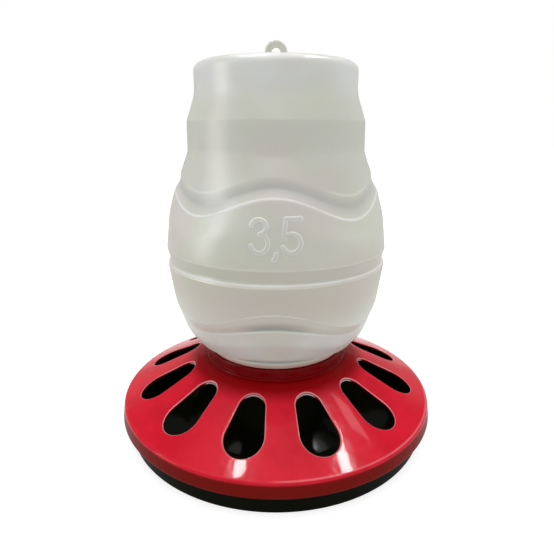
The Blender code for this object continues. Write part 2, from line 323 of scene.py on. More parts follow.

# %% [markdown]
# ## What the plastic has to know about the mould
#
# The painted highlights on the bottle's moulded edges, and its painted shade, follow the waves.
# A material could only find them by height if they were level, so each point keeps the height
# that it had before the waves were pressed in, how near it is to a crest, and its distance from
# the number's strokes. The three are attributes, which the plastic reads later. The lower step is
# also deepest under the crests and fades between them, so the outline's radius is eased there
# towards a straight line.

# %% Press the waves and lift the number
STEP_FOOT = (0.0276, 0.0743)
STEP_TOP = (0.0525, 0.0812)
STEP_FADE = 0.9
mould_height = hopper_shape.verts.layers.float.new("mould_height")
crest_share = hopper_shape.verts.layers.float.new("crest_share")
stroke_distance = hopper_shape.verts.layers.float.new("stroke_distance")
FAR_AWAY = 0.01
lifted = 0
for vert in hopper_shape.verts:
    vert[mould_height] = vert.co.z - SEAT
    vert[stroke_distance] = FAR_AWAY
    turn = math.atan2(vert.co.x, -vert.co.y)
    between_crests = (1 - math.cos(WAVE_COUNT * turn)) / 2
    between_crests += TROUGH_SKEW * math.sin(WAVE_COUNT / 2 * turn)
    vert[crest_share] = 1 - between_crests
    radius = math.hypot(vert.co.x, vert.co.y)
    if STEP_FOOT[0] < vert[mould_height] < STEP_TOP[0] and radius > NECK_RADIUS:
        up_share = (vert[mould_height] - STEP_FOOT[0]) / (STEP_TOP[0] - STEP_FOOT[0])
        straight = STEP_FOOT[1] + up_share * (STEP_TOP[1] - STEP_FOOT[1])
        eased = radius + (straight - radius) * STEP_FADE * min(between_crests, 1)
        vert.co.x *= eased / radius
        vert.co.y *= eased / radius
        radius = eased
    vert.co.z -= wave_drop(vert.co.z - SEAT) * between_crests
    up = vert.co.z - NUMBER_BASE
    in_front = vert.co.y < 0 and abs(vert.co.x) < NUMBER_REACH
    if in_front and abs(up) < NUMBER_REACH * NUMBER_TALLNESS:
        spot = Vector((radius * turn, up))
        near = min(distance_to_stroke(spot, stroke) for stroke in NUMBER_STROKES)
        vert[stroke_distance] = min(near, FAR_AWAY)
        lift = number_lift(near)
        vert.co.x *= 1 + lift / radius
        vert.co.y *= 1 + lift / radius
        lifted += lift > 0
print(lifted, "points stand out for the number")

# %% Keep the hopper's skin and give it its wall
HOPPER_WALL = 0.0016
hopper = as_piece(hopper_shape, "hopper_shell")
give_wall(hopper, HOPPER_WALL)

# %% [markdown]
# ## The hanging ear
#
# The ear is pinched out of the same plastic on top. A torus with feet would look like wire, but
# the real ear is a flat tab with a round head, a hole and soft edges. It is a flat outline with
# a hole, filled, extruded and bevelled, and kept as a piece of its own that stands for the
# hopper too.

# %% The ear
EAR_RADIUS = 0.0081
EAR_HOLE_RADIUS = 0.0033
EAR_HOLE_LIFT = 0.0068
EAR_THICKNESS = 0.004
EAR_ROOT_SPREAD = 0.001
EAR_EDGE = 0.0008
EAR_STEPS = 40


def ear_edge(angle, centre, root):
    """Where a ray from the hole's centre meets the ear's outer edge."""
    across = math.cos(angle)
    up = math.sin(angle)
    if up >= 0:
        return Vector((EAR_RADIUS * across, 0, centre + EAR_RADIUS * up))
    to_side = (EAR_RADIUS + EAR_ROOT_SPREAD * -up) / max(abs(across), 0.0001)
    to_root = (centre - root) / -up
    reach = min(to_side, to_root)
    return Vector((reach * across, 0, centre + reach * up))


ear_shape = bmesh.new()
ear_top = SEAT + TOP + TOP_RISE
ear_centre = ear_top + EAR_HOLE_LIFT
ear_root = ear_top - HOPPER_WALL / 2
rings = []
for size in ("hole", "edge"):
    ring = bmesh.ops.create_circle(ear_shape, segments=EAR_STEPS, radius=1.0)["verts"]
    for index, vert in enumerate(ring):
        angle = math.tau * index / EAR_STEPS
        if size == "hole":
            vert.co = Vector((EAR_HOLE_RADIUS * math.cos(angle), 0,
                              ear_centre + EAR_HOLE_RADIUS * math.sin(angle)))
        else:
            vert.co = ear_edge(angle, ear_centre, ear_root)
    rings += list({edge for vert in ring for edge in vert.link_edges})
bmesh.ops.bridge_loops(ear_shape, edges=rings)
tab = bmesh.ops.extrude_face_region(ear_shape, geom=ear_shape.faces[:])
moved = [item for item in tab["geom"] if isinstance(item, bmesh.types.BMVert)]
bmesh.ops.translate(ear_shape, verts=moved, vec=(0, EAR_THICKNESS, 0))
bmesh.ops.translate(ear_shape, verts=ear_shape.verts, vec=(0, -EAR_THICKNESS / 2, 0))
bmesh.ops.recalc_face_normals(ear_shape, faces=ear_shape.faces)
sharp = [edge for edge in ear_shape.edges
         if edge.is_manifold and edge.calc_face_angle(0) > math.radians(60)]
bmesh.ops.bevel(ear_shape, geom=sharp, affect="EDGES", offset=EAR_EDGE, segments=3,
                profile=0.5, material=-1)
ear = as_piece(ear_shape, "hopper_ear")

# %% [markdown]
# ## The feeding cover
#
# The roof has twelve slots whose lips roll over and turn down. Cutting them out of a finished
# cone would leave messy edges that shade badly. Instead one twelfth of the roof is made: rings
# of points follow the slot from the turned-down lip up and out to the edges of the sector, each
# ring is bridged to the next, and the sector is copied around. The faces then flow around each
# slot, and the lips catch the light evenly.

# %% The slot's outline
SLOT_COUNT = 12
SLOT_INNER_DISTANCE = 0.0789
SLOT_INNER_ROUND = 0.0099
SLOT_OUTER_DISTANCE = 0.0988
SLOT_OUTER_ROUND = 0.0138
ARC_PARTS = 24
SIDE_PARTS = 12


def slot_outline(offset):
    """Outline of the slot that points along +X: two arcs joined by straight sides."""
    reach = SLOT_OUTER_DISTANCE - SLOT_INNER_DISTANCE
    lean = math.asin((SLOT_OUTER_ROUND - SLOT_INNER_ROUND) / reach)
    side = math.pi / 2 + lean
    outer = [Vector((SLOT_OUTER_DISTANCE, 0)) + (SLOT_OUTER_ROUND + offset)
             * Vector((math.cos(angle), math.sin(angle)))
             for angle in (-side + 2 * side * step / ARC_PARTS for step in range(ARC_PARTS + 1))]
    inner = [Vector((SLOT_INNER_DISTANCE, 0)) + (SLOT_INNER_ROUND + offset)
             * Vector((math.cos(angle), math.sin(angle)))
             for angle in (side + 2 * (math.pi - side) * step / ARC_PARTS
                           for step in range(ARC_PARTS + 1))]
    points = outer[:]
    points += [outer[-1].lerp(inner[0], step / SIDE_PARTS) for step in range(1, SIDE_PARTS)]
    points += inner
    points += [inner[-1].lerp(outer[0], step / SIDE_PARTS) for step in range(1, SIDE_PARTS)]
    return points


# %% The edges of a sector
ROOF_EDGE_WIDTH = 0.006
ROOF_EDGE = RIM_RADIUS - ROOF_EDGE_WIDTH
HALF_SECTOR = math.pi / SLOT_COUNT


def sector_outline():
    """Outline of a twelfth of the roof, in step with the slot's outline."""
    def at(radius, angle):
        return Vector((radius * math.cos(angle), radius * math.sin(angle)))
    points = [at(ROOF_EDGE, -HALF_SECTOR + 2 * HALF_SECTOR * step / ARC_PARTS)
              for step in range(ARC_PARTS + 1)]
    side = [at(ROOF_EDGE + (BAND_RADIUS - ROOF_EDGE) * step / SIDE_PARTS, HALF_SECTOR)
            for step in range(1, SIDE_PARTS)]
    points += side
    points += [at(BAND_RADIUS, HALF_SECTOR - 2 * HALF_SECTOR * step / ARC_PARTS)
               for step in range(ARC_PARTS + 1)]
    points += [Vector((spot.x, -spot.y)) for spot in reversed(side)]
    return points


# %% Rings from the lip to the sector's edges
LIP_ROUNDING = 0.0009
LIP_DEPTH = 0.0022
LIP_WALL_TOP = LIP_ROUNDING * 1.15
LIP_ARC_PARTS = 6
ROOF_RINGS = 7
RING_SPREAD = 1.3
END_START = 0.55
END_FADE = 0.3


def add_ring(shape, points, depth, shine):
    """One closed ring of points, a depth under the roof, with its share of the lip's painted
    highlight and shade.
    """
    ring = bmesh.ops.create_circle(shape, segments=len(points), radius=1.0)["verts"]
    for vert, spot in zip(ring, points):
        vert.co = Vector((spot.x, spot.y, roof_height(spot.length) - depth))
        vert[lip_highlight_and_shade] = shine(spot)
    return list({edge for vert in ring for edge in vert.link_edges})


def at_inner_end(spot):
    """2 at the inner end of the slot, where the lip's edge gets a painted highlight, and -1 on
    its wall, which gets painted shade.
    """
    inward = SLOT_INNER_DISTANCE - END_START * SLOT_INNER_ROUND - spot.x
    return 3 * min(max(inward / (END_FADE * SLOT_INNER_ROUND), 0), 1) - 1


cover_shape = bmesh.new()
lip_highlight_and_shade = cover_shape.verts.layers.float.new("lip_highlight_and_shade")
# the lip's rings: the two lowest carry the painted crescent at the slot's inner end and painted
# shade elsewhere, the wall's rings painted shade, and the rounding's rings a painted highlight
slot_rings = [(slot_outline(0), LIP_DEPTH, at_inner_end),
              (slot_outline(0), LIP_DEPTH - LIP_ROUNDING, at_inner_end),
              (slot_outline(0), LIP_DEPTH - LIP_WALL_TOP, lambda spot: -1),
              (slot_outline(0), LIP_WALL_TOP, lambda spot: -1)]
for step in range(LIP_ARC_PARTS + 1):
    angle = math.pi / 2 * (1 - step / LIP_ARC_PARTS)
    slot_rings.append((slot_outline(LIP_ROUNDING * (1 - math.sin(angle))),
                       LIP_ROUNDING * (1 - math.cos(angle)),
                       lambda spot, shine=math.sin(2 * angle): shine))
lip_edge = slot_outline(LIP_ROUNDING)
for step in range(1, ROOF_RINGS + 1):
    share = (step / ROOF_RINGS) ** RING_SPREAD
    blended = [near.lerp(far, share) for near, far in zip(lip_edge, sector_outline())]
    slot_rings.append((blended, 0, lambda spot: 0))
ring_edges = [add_ring(cover_shape, *ring) for ring in slot_rings]
for inner_ring, outer_ring in zip(ring_edges, ring_edges[1:]):
    bmesh.ops.bridge_loops(cover_shape, edges=inner_ring + outer_ring)
print("one sector has", len(cover_shape.faces), "faces")

# %% Copy the sector around
COVER_TURN = math.radians(2.4)
first_turn = COVER_TURN - math.pi / 2 + HALF_SECTOR
bmesh.ops.rotate(cover_shape, verts=cover_shape.verts, cent=(0, 0, 0),
                 matrix=Matrix.Rotation(first_turn, 3, "Z"))
everything = cover_shape.verts[:] + cover_shape.edges[:] + cover_shape.faces[:]
bmesh.ops.spin(cover_shape, geom=everything, cent=(0, 0, 0), axis=UP,
               angle=math.tau * (SLOT_COUNT - 1) / SLOT_COUNT, steps=SLOT_COUNT - 1,
               use_duplicate=True)
print("the roof has", len(cover_shape.faces), "faces")

# %% Turn the rim, the skirt, the band and the collar
RIM_ROUNDING = 0.002
SKIRT_DEPTH = 0.0101
SKIRT_FLARE = 0.0014
COVER_OUTLINE_STEP = 0.0015
start_angle = first_turn - HALF_SECTOR
rim_points = outline([
    (ROOF_EDGE, roof_height(ROOF_EDGE), 0),
    (RIM_RADIUS, RIM_HEIGHT, RIM_ROUNDING),
    (RIM_RADIUS + SKIRT_FLARE, RIM_HEIGHT - SKIRT_DEPTH, 0),
], COVER_OUTLINE_STEP)
collar_points = outline([
    (COLLAR_RADIUS, COLLAR_TOP, 0),
    (COLLAR_RADIUS, LEDGE_BASE + LEDGE_RISE, 0.0006),
    (LEDGE_RADIUS, LEDGE_BASE + LEDGE_RISE, 0.0005),
    (LEDGE_RADIUS, LEDGE_BASE, 0.0006),
    (BAND_RADIUS, roof_height(BAND_RADIUS), 0),
], COVER_OUTLINE_STEP)
for points in (rim_points, collar_points):
    turn_outline(cover_shape, points, SLOT_COUNT * ARC_PARTS, start_angle)
cover = as_piece(cover_shape, "feeding_cover_shell")
give_wall(cover, COLLAR_WALL)

# %% [markdown]
# ## The feed pan
#
# The pan is a plain turned dish with a cone in its middle that spreads the feed. Only its rim
# shows under the cover and a little of its floor through the slots, so a turned skin with a wall
# is all it needs. Its foot is rounded, and that rounding is the lowest line that the eye sees.

# %% The pan
PAN_WALL = 0.0022
PAN_BEAD = 0.0013
PAN_BEAD_HEIGHT = 0.0026
PAN_TAPER = 0.03
PAN_FOOT_ROUNDING = 0.0014
PAN_RADIUS = RIM_RADIUS - COVER_WALL - FIT_GAP
inner_rim = RIM_RADIUS - PAN_RADIUS
rim_slope = ROOF_SLOPE + 2 * ROOF_CURVE * inner_rim / RIM_RADIUS
PAN_DEPTH = roof_height(PAN_RADIUS) - COVER_WALL * math.hypot(1, rim_slope) - FIT_GAP
CONE_FOOT_RADIUS = 0.073
CONE_HEIGHT = 0.038
CONE_TIP_ROUNDING = 0.012
PAN_OUTLINE_STEP = 0.004
PAN_STEPS = 192
wall_radius = PAN_RADIUS - PAN_BEAD
bead_end = PAN_DEPTH - PAN_BEAD_HEIGHT
slant = CONE_HEIGHT / CONE_FOOT_RADIUS
under_tip = CONE_HEIGHT - PAN_WALL * math.hypot(1, slant)
pan_points = outline([
    (PAN_RADIUS, PAN_DEPTH, 0),
    (PAN_RADIUS, bead_end, 0.0004),
    (wall_radius, bead_end - PAN_BEAD, 0.0008),
    (wall_radius - PAN_TAPER * bead_end, 0, PAN_FOOT_ROUNDING),
    (CONE_FOOT_RADIUS, 0, 0.008),
    (CONE_TIP_ROUNDING, under_tip - CONE_TIP_ROUNDING * slant, CONE_TIP_ROUNDING),
    (0, under_tip - CONE_TIP_ROUNDING * slant, 0),
], PAN_OUTLINE_STEP)
pan_shape = bmesh.new()
turn_outline(pan_shape, pan_points, PAN_STEPS)
pan = as_piece(pan_shape, "feed_pan_shell")
give_wall(pan, PAN_WALL)

# %% [markdown]
# ## Writing materials as sums
#
# A node graph is a calculation. Written as nodes and links one by one it is hard to read, so a
# small class wraps a socket, and plus, minus, times and divide on it add the Math nodes.

# %% A socket that can be calculated with


class Field:
    """A value that changes over a surface, held by a node's output socket."""

    def __init__(self, tree, socket):
        self.tree = tree
        self.socket = socket

    def math(self, operation, first, second=0.0):
        return add_node(self.tree, "ShaderNodeMath", {"operation": operation},
                        {0: first, 1: second})

    def __add__(self, other):
        return self.math("ADD", self, other)

    def __sub__(self, other):
        return self.math("SUBTRACT", self, other)

    def __mul__(self, other):
        return self.math("MULTIPLY", self, other)

    def __truediv__(self, other):
        return self.math("DIVIDE", self, other)

    def __rsub__(self, other):
        return self.math("SUBTRACT", other, self)

    __radd__ = __add__
    __rmul__ = __mul__

    def clamped(self):
        """The value kept between 0 and 1."""
        return add_node(self.tree, "ShaderNodeClamp", {}, {"Value": self})

    def ramp(self, low, high):
        """0 below low, 1 above high, and smooth between."""
        return add_node(self.tree, "ShaderNodeMapRange", {"interpolation_type": "SMOOTHSTEP"},
                        {"Value": self, "From Min": low, "From Max": high})


def add_node(tree, kind, settings, values, output=0):
    """Add one node: settings first, then the values or links of its sockets."""
    node = tree.nodes.new(kind)
    for name, value in settings.items():
        setattr(node, name, value)
    for name, value in values.items():
        if isinstance(value, Field):
            tree.links.new(value.socket, node.inputs[name])
        else:
            node.inputs[name].default_value = value
    if node.outputs:
        return Field(tree, node.outputs[output])


def mix_colour(tree, share, first, second):
    """Blend two colours by a share."""
    return add_node(tree, "ShaderNodeMix", {"data_type": "RGBA"},
                    {"Factor": share, 6: first, 7: second}, 2)


def new_plastic(name, constants):
    """A material with its Principled shader, and the object's own coordinates."""
    material = bpy.data.materials.new(name)
    material.use_nodes = True
    tree = material.node_tree
    shader = tree.nodes["Principled BSDF"]
    for socket, value in constants.items():
        shader.inputs[socket].default_value = value
    place = add_node(tree, "ShaderNodeTexCoord", {}, {}, "Object")
    return material, tree, shader, place


def noise(tree, place, scale, detail=3.0, stretch=(1, 1, 1)):
    """Soft noise at a scale in bumps per metre."""
    spot = add_node(tree, "ShaderNodeMapping", {}, {"Vector": place, "Scale": stretch})
    return add_node(tree, "ShaderNodeTexNoise", {},
                    {"Vector": spot, "Scale": scale, "Detail": detail, "Roughness": 0.55}, 0)


def feed(tree, shader, socket, value):
    """Link a field to a socket of the shader."""
    tree.links.new(value.socket, shader.inputs[socket])


def along(tree, vector, axis):
    """One part of a vector: 0 to the right, 1 to the back, 2 upwards."""
    return add_node(tree, "ShaderNodeSeparateXYZ", {}, {"Vector": vector}, axis)


def height_of(tree, place):
    """The height over the floor, in metres."""
    return along(tree, place, 2)


def radius_of(tree, place):
    """The distance from the feeder's axis, in metres."""
    flat = add_node(tree, "ShaderNodeVectorMath", {"operation": "MULTIPLY"},
                    {0: place, 1: (1, 1, 0)})
    return add_node(tree, "ShaderNodeVectorMath", {"operation": "LENGTH"}, {0: flat}, "Value")


def stored(tree, name):
    """An attribute that the piece's points carry."""
    return add_node(tree, "ShaderNodeAttribute", {"attribute_name": name}, {}, "Fac")


def line_at(field, centre, reach):
    """1 where a field has a certain value, falling to 0 a reach away from it."""
    off = (field - centre) / reach
    inside = (1 - off * off).clamped()
    return inside * inside


def bumpy(tree, shader, height, strength, depth):
    """Give the shader a bump from a height field."""
    bump = add_node(tree, "ShaderNodeBump", {},
                    {"Height": height, "Strength": strength, "Distance": depth})
    tree.links.new(bump.socket, shader.inputs["Normal"])


# %% [markdown]
# ## Milky plastic
#
# Blown polyethylene is neither clear nor white. Light goes in a few millimetres and comes out
# again, so creases look soft. Real glass-like transmission would be slow and too clear, so the
# shader scatters light under the surface and keeps a soft sheen. The wall is a little uneven,
# which shows as faint clouds and streaks that run down the bottle, and as a gentle orange peel.
# This shader lets no light pass through the hollow bottle, so a faint glow low down stands in
# for it. The top is painted lighter, as light from above falls on it, and the low belly and foot
# are painted lighter and greener to cancel the red light that the cover bounces onto them. The
# moulded edges carry painted highlights, and the valley, the parts under the lower crests and a
# line over the foot carry painted shade. The foot stands in the red collar, whose red, seen
# through the plastic and mirrored in it, is painted on the foot's edge.

# %% The hopper's plastic
MILK = (0.725, 0.73, 0.64, 1)
MILK_THIN = (0.68, 0.68, 0.59, 1)
# painted light: the top of the bottle is painted lighter, as light from above falls on it
MILK_TOP_PAINTED_LIGHT = (0.93, 0.93, 0.85, 1)
MILK_EAR = (0.62, 0.625, 0.58, 1)
MILK_LOW = (0.76, 0.69, 0.595, 1)
# painted light: the low belly and foot are painted lighter and greener to cancel the red light
# that the cover bounces onto them
MILK_FOOT_PAINTED_LIGHT = (0.91, 0.98, 0.90, 1)
MILK_PINK = (0.74, 0.665, 0.62, 1)
MILK_GREEN = (0.685, 0.72, 0.57, 1)
# painted highlight: the colour of the bright lines on the moulded edges and the number's strokes
MILK_PAINTED_HIGHLIGHT = (1.0, 0.99, 0.91, 1)
# painted reflection: the collar's red, seen through the foot and mirrored in it
MILK_PAINTED_COLLAR_RED = (0.80, 0.33, 0.33, 1)
# painted shade: the grey that darkens the valley, the parts under the lower crests and a line
# over the foot
PAINTED_SHADE_GREY = (0.43, 0.46, 0.45, 1)
NO_LIGHT = (0, 0, 0, 1)
INNER_LIGHT = (0.028, 0.05, 0.03, 1)
# heights over the floor between which each of these colours fades in
HIGH_ZONE = (0.25, 0.27)
LOW_ZONE = (0.095, 0.19)
FOOT_ZONE = (0.085, 0.128)
INNER_LIGHT_ZONE = (0.095, 0.135)
EAR_FADE = 0.0015
STRONG_HIGHLIGHT_LINES = [
    # height in the mould, reach to each side, strength
    (0.1279, 0.0011, 1.0),
    (0.0735, 0.0010, 1.0),
    (0.0835, 0.0010, 0.4),
]
FAINT_HIGHLIGHT_LINES = [
    (0.0525, 0.0007, 0.75),
    (0.0392, 0.0008, 0.25),
]
# centre and reach of single lines
TROUGH_HIGHLIGHT_LINE = (0.1405, 0.0011)
VALLEY_SHADE = (0.1348, 0.0055)
FOOT_SHADOW_LINE = (0.0056, 0.0026)
STROKE_EDGE_HIGHLIGHT = (0.0013, 0.0005)
# heights in the mould between which these fade
POCKET_SHADE_TOP = (0.0405, 0.0505)
POCKET_SHADE_FOOT = (0.0398, 0.0406)
PAINTED_COLLAR_RED_ZONE = (0.0005, 0.005)

milky, tree, shader, place = new_plastic("milky_plastic", {
    "IOR": 1.5,
    "Specular IOR Level": 0.5,
    "Subsurface Weight": 0.8,
    "Subsurface Radius": (1.0, 0.9, 0.75),
    "Subsurface Scale": 0.004,
    "Emission Strength": 1.0,
})
clouds = noise(tree, place, 22, 3)
streaks = noise(tree, place, 60, 2, (1, 1, 0.12))
height = height_of(tree, place)
thin = (clouds.ramp(0.35, 0.75) * 0.45 + streaks.ramp(0.45, 0.8) * 0.3).clamped()
colour = mix_colour(tree, thin, MILK, MILK_THIN)
colour = mix_colour(tree, height.ramp(*HIGH_ZONE), colour, MILK_TOP_PAINTED_LIGHT)
colour = mix_colour(tree, 1 - height.ramp(*LOW_ZONE), colour, MILK_LOW)
colour = mix_colour(tree, 1 - height.ramp(*FOOT_ZONE), colour, MILK_FOOT_PAINTED_LIGHT)
pink_patches = noise(tree, place, 17, 1).ramp(0.45, 0.68) * 0.55
green_patches = noise(tree, place, 13, 1).ramp(0.5, 0.7) * 0.55
colour = mix_colour(tree, pink_patches, colour, MILK_PINK)
colour = mix_colour(tree, green_patches, colour, MILK_GREEN)
in_ear = height.ramp(ear_top, ear_top + EAR_FADE)

# %% Painted highlights on the edges, painted shade in the valley and under lower crests, and the foot
in_mould = stored(tree, "mould_height")
near_crest = stored(tree, "crest_share")
from_stroke = stored(tree, "stroke_distance")
uneven = noise(tree, place, 40, 2)
# painted highlights: bright lines along the trough, the ridges, the groove, the lower steps and
# the number's strokes
strong = line_at(in_mould, *TROUGH_HIGHLIGHT_LINE) * (1 - near_crest).ramp(0.55, 1) * 0.5
for line_height, reach, strength in STRONG_HIGHLIGHT_LINES:
    strong = strong + line_at(in_mould, line_height, reach) * strength
faint = line_at(from_stroke, *STROKE_EDGE_HIGHLIGHT) * 1.8
for line_height, reach, strength in FAINT_HIGHLIGHT_LINES:
    faint = faint + line_at(in_mould, line_height, reach) * strength
# the painted highlights, broken up along their length
edges = strong * (uneven.ramp(0.3, 0.6) * 0.45 + 0.55)
edges = edges + faint * (uneven.ramp(0.35, 0.6) * 0.7 + 0.3)
# painted shade in the concave valley, under the four lower crests, and as a shadow line over the
# foot
valley_shade = line_at(in_mould, *VALLEY_SHADE) * 0.38
pocket_shade = (1 - in_mould.ramp(*POCKET_SHADE_TOP)) * in_mould.ramp(*POCKET_SHADE_FOOT)
pocket_shade = pocket_shade * near_crest.ramp(0.55, 1.0) * 0.85
foot_shadow_line = line_at(in_mould, *FOOT_SHADOW_LINE)
colour = mix_colour(tree, (valley_shade + pocket_shade + foot_shadow_line).clamped(), colour, PAINTED_SHADE_GREY)
colour = mix_colour(tree, edges.clamped(), colour, MILK_PAINTED_HIGHLIGHT)
# painted reflection of the red collar on the foot's edge
colour = mix_colour(tree, 1 - in_mould.ramp(*PAINTED_COLLAR_RED_ZONE), colour, MILK_PAINTED_COLLAR_RED)
colour = mix_colour(tree, in_ear, colour, MILK_EAR)
feed(tree, shader, "Base Color", colour)
low_inside = 1 - height.ramp(*INNER_LIGHT_ZONE)
feed(tree, shader, "Emission Color", mix_colour(tree, low_inside, NO_LIGHT, INNER_LIGHT))
feed(tree, shader, "Roughness", clouds * 0.14 + streaks * 0.06 + 0.26)
peel = noise(tree, place, 420, 2) * 0.6 + noise(tree, place, 90, 2) * 1.6
bumpy(tree, shader, peel, 0.2, 0.0004)

# %% [markdown]
# ## Glossy red plastic
#
# The cover came out of a polished mould, so it mirrors its surroundings. A clear coat over the
# red gives that, and very weak ripples, as moulded plastic has around holes, keep the mirror
# images from looking computed. A few fine scratches only show in the gloss. Painted shade
# darkens the red near the collar, on the collar itself, on the skirt and on the slots' inner
# walls. The rounded edges of the turned-down lips carry a painted pale highlight that ends in a
# painted white crescent nearest the hopper, too thin for the lighting to bring out, and a faint
# painted highlight runs along the rim's rounding.

# %% The cover's plastic
RED = (0.70, 0.013, 0.033, 1)
RED_DEEP = (0.60, 0.009, 0.025, 1)
# painted shade: the skirt, which little light reaches
RED_SKIRT_PAINTED_SHADE = (0.20, 0.006, 0.004, 1)
# painted shade: the red near the collar, where the hopper's belly shades it
RED_BAND_PAINTED_SHADE = (0.29, 0.0005, 0.003, 1)
# painted shade: the collar under the hopper's overhang
RED_COLLAR_PAINTED_SHADE = (0.20, 0.0002, 0.001, 1)
# painted shade: the slots' inner walls
LIP_WALL_PAINTED_SHADE = (0.15, 0.001, 0.002, 1)
# painted highlight: the pale line on the lips' rounding and along the rim
LIP_PAINTED_HIGHLIGHT = (0.80, 0.40, 0.42, 1)
# painted highlight: the white crescent at each slot's inner end
LIP_PAINTED_CRESCENT = (1.0, 0.93, 0.93, 1)
# how far below and above the band's height its painted shade fades in
BAND_FADE = (0.0055, 0.001)
LEDGE_FADE = 0.0015
# how far below the rim's height painted shade starts to darken the skirt, and where that fades
# out
SKIRT_FADE = (0.0022, 0.0006)
# distance from the axis, and reach, of the painted highlight along the rim's rounding
RIM_HIGHLIGHT_LINE = (0.1246, 0.0009)
RIM_HIGHLIGHT_DROP = 0.001

red, tree, shader, place = new_plastic("red_plastic", {
    "IOR": 1.46,
    "Specular IOR Level": 0.04,
    "Coat Roughness": 0.04,
    "Coat IOR": 1.35,
})
patches = noise(tree, place, 35, 3)
colour = mix_colour(tree, patches.ramp(0.35, 0.7), RED, RED_DEEP)
height = height_of(tree, place)
band_height = roof_height(BAND_RADIUS)
# painted shade: the red darkens towards the band around the collar
near_band_shade = height.ramp(band_height - BAND_FADE[0], band_height + BAND_FADE[1])
colour = mix_colour(tree, near_band_shade, colour, RED_BAND_PAINTED_SHADE)
# painted shade: the collar is painted dark red, as the hopper shades it
in_collar = height.ramp(LEDGE_BASE - LEDGE_FADE, LEDGE_BASE)
colour = mix_colour(tree, in_collar, colour, RED_COLLAR_PAINTED_SHADE)
# painted shade: the skirt below the rim is painted dark
on_skirt = 1 - height.ramp(RIM_HEIGHT - SKIRT_FADE[0], RIM_HEIGHT - SKIRT_FADE[1])
colour = mix_colour(tree, on_skirt, colour, RED_SKIRT_PAINTED_SHADE)
shine = stored(tree, "lip_highlight_and_shade")
# painted highlight: a pale line on the lips' rounding, broken up by the colour patches
lip = shine.ramp(0.3, 0.95) * (patches.ramp(0.4, 0.6) * 0.4 + 0.5)
# painted highlight: a faint pale line along the rim's rounding, in patches
rim_highlight = line_at(radius_of(tree, place), *RIM_HIGHLIGHT_LINE)
rim_highlight = rim_highlight * height.ramp(RIM_HEIGHT - RIM_HIGHLIGHT_DROP, RIM_HEIGHT)
rim_highlight = rim_highlight * (noise(tree, place, 12, 2).ramp(0.46, 0.62) * 0.34 + 0.02)
# painted shade on the slots' inner walls
colour = mix_colour(tree, (0 - shine).ramp(0.1, 0.9), colour, LIP_WALL_PAINTED_SHADE)
colour = mix_colour(tree, (lip + rim_highlight).clamped(), colour, LIP_PAINTED_HIGHLIGHT)
# painted highlight: the white crescent at each slot's inner end
colour = mix_colour(tree, shine.ramp(1.1, 1.7), colour, LIP_PAINTED_CRESCENT)
feed(tree, shader, "Base Color", colour)
scuffs = noise(tree, place, 240, 1, (1, 0.15, 1)).ramp(0.62, 0.75)
feed(tree, shader, "Roughness", scuffs * 0.12 + patches * 0.1 + on_skirt * 0.25 + 0.12)
dull = (on_skirt * 0.8 + in_collar * 0.35).clamped()
feed(tree, shader, "Coat Weight", ((0.22 - scuffs * 0.14) * (1 - dull)).clamped())
ripples = noise(tree, place, 55, 1) * 2.0 + noise(tree, place, 140, 1) * 3.0
bumpy(tree, shader, ripples, 0.12, 0.0006)

# %% [markdown]
# ## Black pan plastic
#
# The pan is a cheaper, duller black. Pure black would hide its shape, so it is a very dark warm
# grey, with a fine grain and a thin, patchy film of dust.

# %% The pan's plastic
BLACK = (0.0035, 0.0048, 0.0012, 1)
DUST = (0.012, 0.0115, 0.008, 1)
# distances from the axis between which the gloss fades out
GLOSS_END = (0.1, 0.115)

black, tree, shader, place = new_plastic("black_plastic", {
    "IOR": 1.46,
    "Specular IOR Level": 0.02,
    "Coat Roughness": 0.1,
    "Coat IOR": 1.45,
})
film = noise(tree, place, 45, 4)
colour = mix_colour(tree, film.ramp(0.45, 0.8) * 0.4, BLACK, DUST)
feed(tree, shader, "Base Color", colour)
feed(tree, shader, "Roughness", film * 0.25 + 0.25)
feed(tree, shader, "Coat Weight", (1 - radius_of(tree, place).ramp(*GLOSS_END)) * 0.35)
grain = noise(tree, place, 900, 2)
bumpy(tree, shader, grain, 0.12, 0.0002)

# %% Put the pieces on the solid model
PIECES = [
    # piece, the solid node that it stands for, its plastic, its slot
    (hopper, "hopper", milky, "milky_plastic"),
    (ear, "hopper", milky, "milky_plastic"),
    (cover, "feeding_cover", red, "red_plastic"),
    (pan, "feed_pan", black, "black_plastic"),
]
for piece, node, plastic, slot in PIECES:
    piece.data.materials.append(plastic)
    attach(piece, "root")
    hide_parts(node)
    print(piece.name, "stands for", node)

# %% [markdown]
# ## Floor, background and light
#
# The feeder stands on a plain pale floor. White surroundings come from the world's colour for
# the camera and for mirror images, not from strong lamps, so the plastics keep their colours.
# The backdrop stands behind the feeder, so a little more light comes from there, which leaves
# the middle of the bottle slightly darker than its sides. Mirror images show the white backdrop
# up to its top edge, dimmer right behind the feeder, and above it a grey ceiling that is bright
# in its middle, because the front of the roof mirrors what is straight above. The small lamps
# show only as reflections: a tall one on the left draws the vertical sheen on the bottle, and
# the others make the glints on the cover.

# %% The kinds of rays


def ray_kinds(tree):
    """Two fields: 1 for what the camera sees, and 1 for what a piece mirrors or lets through."""
    rays = tree.nodes.new("ShaderNodeLightPath")
    camera_ray, glossy, through = (Field(tree, rays.outputs[name]) for name in (
        "Is Camera Ray", "Is Glossy Ray", "Is Transmission Ray"))
    return camera_ray, (glossy + through).clamped() * (1 - camera_ray)


